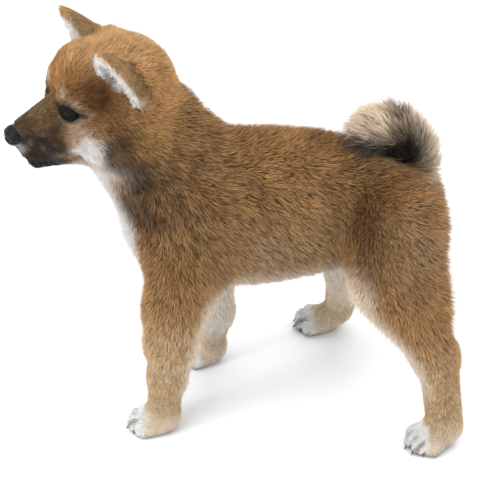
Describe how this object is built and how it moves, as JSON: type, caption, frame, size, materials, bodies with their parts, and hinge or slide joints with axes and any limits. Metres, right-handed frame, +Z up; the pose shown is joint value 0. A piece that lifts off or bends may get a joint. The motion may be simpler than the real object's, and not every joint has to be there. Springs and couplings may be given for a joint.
{
  "type": "shiba inu puppy figure",
  "caption": "Still, life-size shiba inu puppy standing on all fours with pricked ears, a short muzzle and a tail curled over its back.",
  "frame": {"origin": "on the ground, under the middle of the figure's box", "axes": "+X towards the animal's left, -Y towards its nose, +Z up"},
  "size_m": [0.1836, 0.3082, 0.3133],
  "materials": {
    "coat_tan": "soft tan-brown fur",
    "coat_crown": "short orange-tan fur",
    "coat_cream": "cream-white fur",
    "eye_dark": "wet, glossy dark eye",
    "nose_black": "damp black nose leather"
  },
  "bodies": {
    "root": {"head": "coat_crown", "neck": "coat_tan", "trunk": "coat_tan", "tail": "coat_cream", "ear_left": "coat_crown", "ear_right": "coat_crown", "eye_left": "eye_dark", "eye_right": "eye_dark", "nose": "nose_black", "foreleg_left": "coat_tan", "foreleg_right": "coat_tan", "forepaw_left": "coat_cream", "forepaw_right": "coat_cream", "hindleg_left": "coat_tan", "hindleg_right": "coat_tan", "hindpaw_left": "coat_cream", "hindpaw_right": "coat_cream"}
  },
  "joints": []
}
